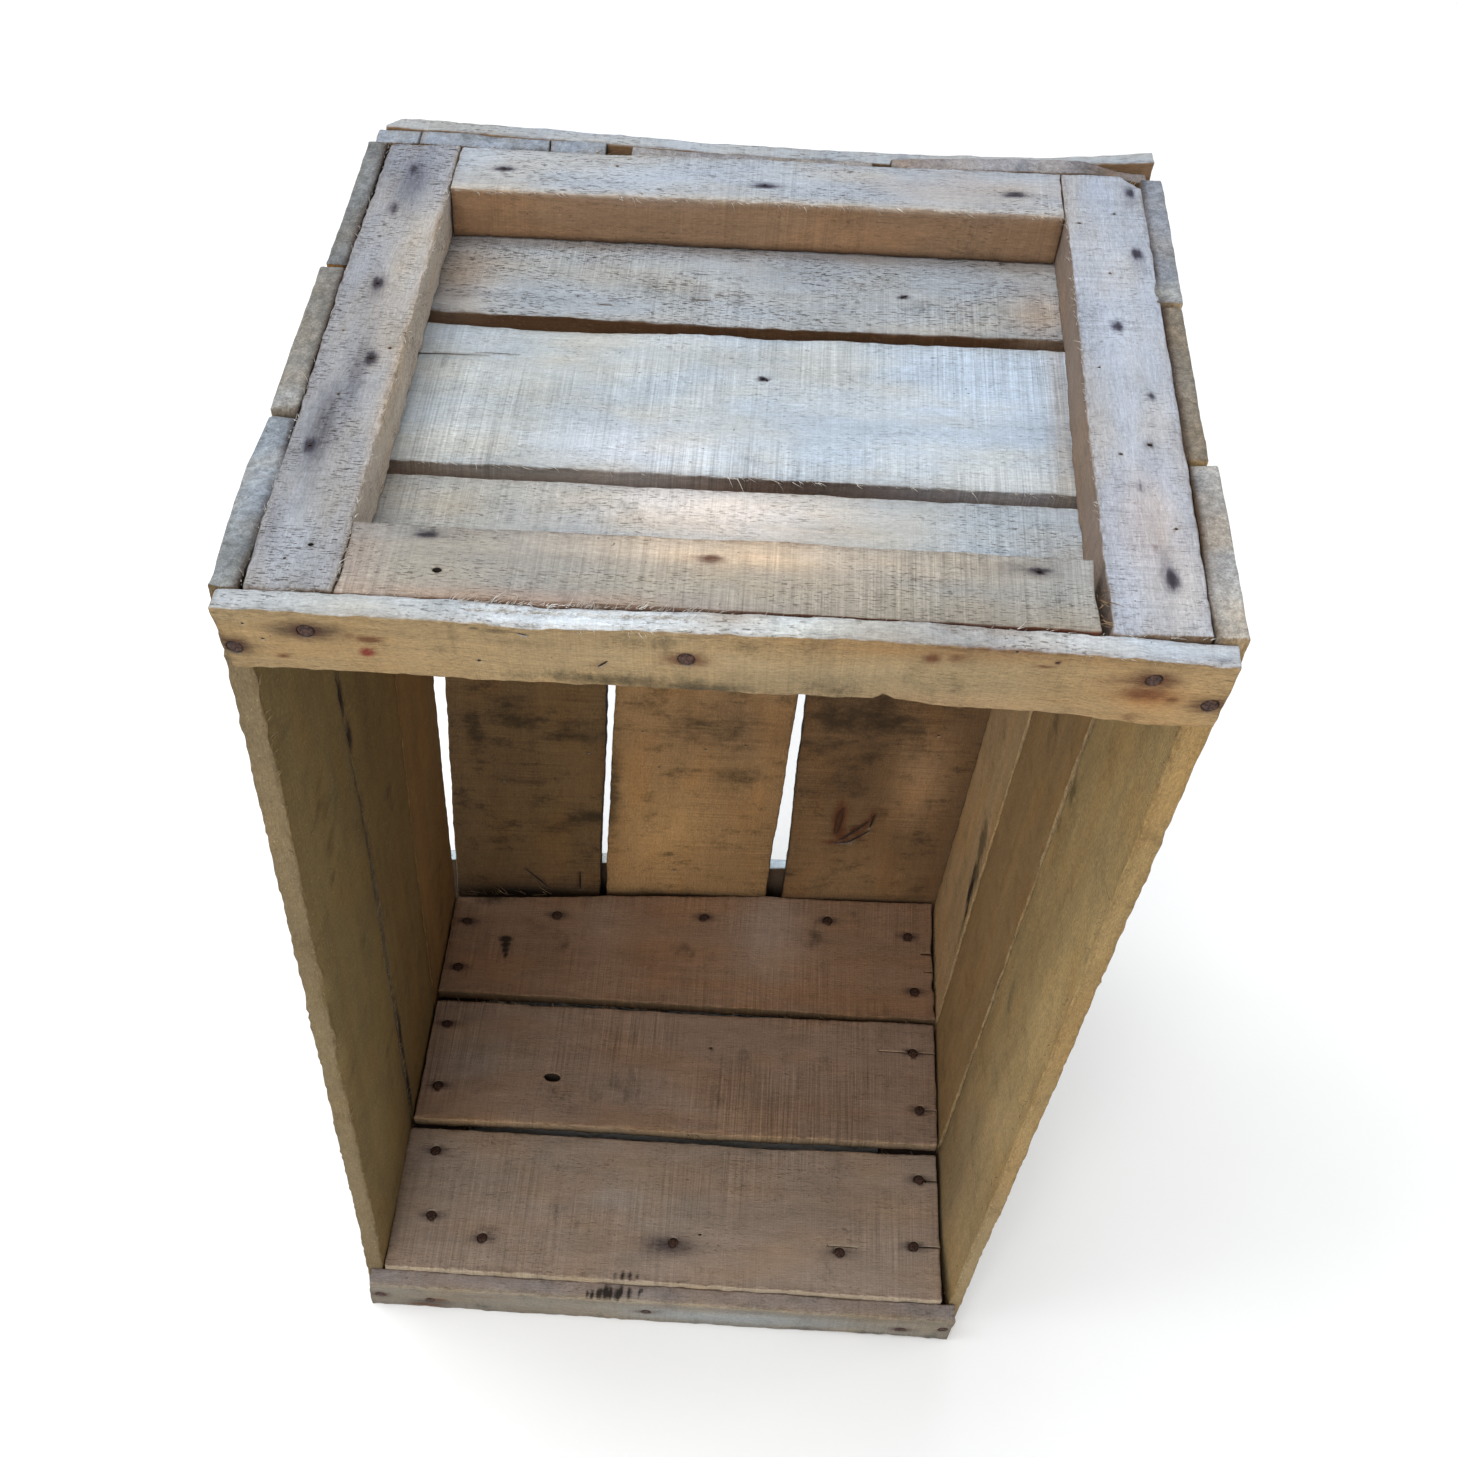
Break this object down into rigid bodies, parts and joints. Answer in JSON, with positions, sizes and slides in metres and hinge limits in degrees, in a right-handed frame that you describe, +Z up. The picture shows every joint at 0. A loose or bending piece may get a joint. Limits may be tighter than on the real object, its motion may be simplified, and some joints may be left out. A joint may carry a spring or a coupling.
{
  "type": "wooden apple crate",
  "caption": "Nailed wooden apple crate, open at the mouth, with square batten frames at both ends, slatted sides and a boarded bottom; it stands on one end.",
  "frame": {"origin": "on the surface that the crate stands on, under the middle of its box", "axes": "+Z up along the length of the crate, which stands on one end; -Y is the side of the open mouth and +Y the side of the bottom boards; +X is to the right of someone who faces the mouth"},
  "size_m": [0.3792, 0.3026, 0.595],
  "materials": {
    "batten": "sawn, weathered silver grey",
    "end_slat": "sawn, weathered grey outside and brown inside",
    "side_slat": "sawn, weathered, greenish brown",
    "bottom_board": "sawn, stained brown",
    "skid": "sawn, weathered pale grey",
    "mouth_rail": "sawn, golden tan with a weathered edge",
    "nail": "rusty"
  },
  "bodies": {
    "root": {"lower_end_batten_left": "batten", "lower_end_batten_right": "batten", "lower_end_batten_rear": "batten", "lower_end_batten_front": "batten", "lower_end_slat_front": "end_slat", "lower_end_slat_middle": "end_slat", "lower_end_slat_rear": "end_slat", "upper_end_batten_left": "batten", "upper_end_batten_right": "batten", "upper_end_batten_rear": "batten", "upper_end_batten_front": "batten", "upper_end_slat_front": "end_slat", "upper_end_slat_middle": "end_slat", "upper_end_slat_rear": "end_slat", "side_slat_left_front": "side_slat", "side_slat_left_middle": "side_slat", "side_slat_left_rear": "side_slat", "side_slat_right_front": "side_slat", "side_slat_right_middle": "side_slat", "side_slat_right_rear": "side_slat", "bottom_board_left": "bottom_board", "bottom_board_middle": "bottom_board", "bottom_board_right": "bottom_board", "skid_lower": "skid", "skid_upper": "skid", "mouth_rail_lower": "mouth_rail", "mouth_rail_upper": "mouth_rail", "nail_rail_upper_1": "nail", "nail_rail_upper_2": "nail", "nail_rail_upper_3": "nail", "nail_rail_upper_4": "nail", "nail_rail_upper_5": "nail", "nail_rail_lower_1": "nail", "nail_rail_lower_2": "nail", "nail_rail_lower_3": "nail", "nail_rail_lower_4": "nail", "nail_rail_lower_5": "nail", "nail_end_rear_left_1": "nail", "nail_end_rear_left_2": "nail", "nail_end_rear_edge_1": "nail", "nail_end_rear_edge_2": "nail", "nail_end_rear_edge_3": "nail", "nail_end_rear_right_1": "nail", "nail_end_rear_right_2": "nail", "nail_end_middle_left_1": "nail", "nail_end_middle_left_2": "nail", "nail_end_middle_right_1": "nail", "nail_end_middle_right_2": "nail", "nail_end_front_left_1": "nail", "nail_end_front_left_2": "nail", "nail_end_front_edge_1": "nail", "nail_end_front_edge_2": "nail", "nail_end_front_edge_3": "nail", "nail_end_front_right_1": "nail", "nail_end_front_right_2": "nail"}
  },
  "joints": []
}
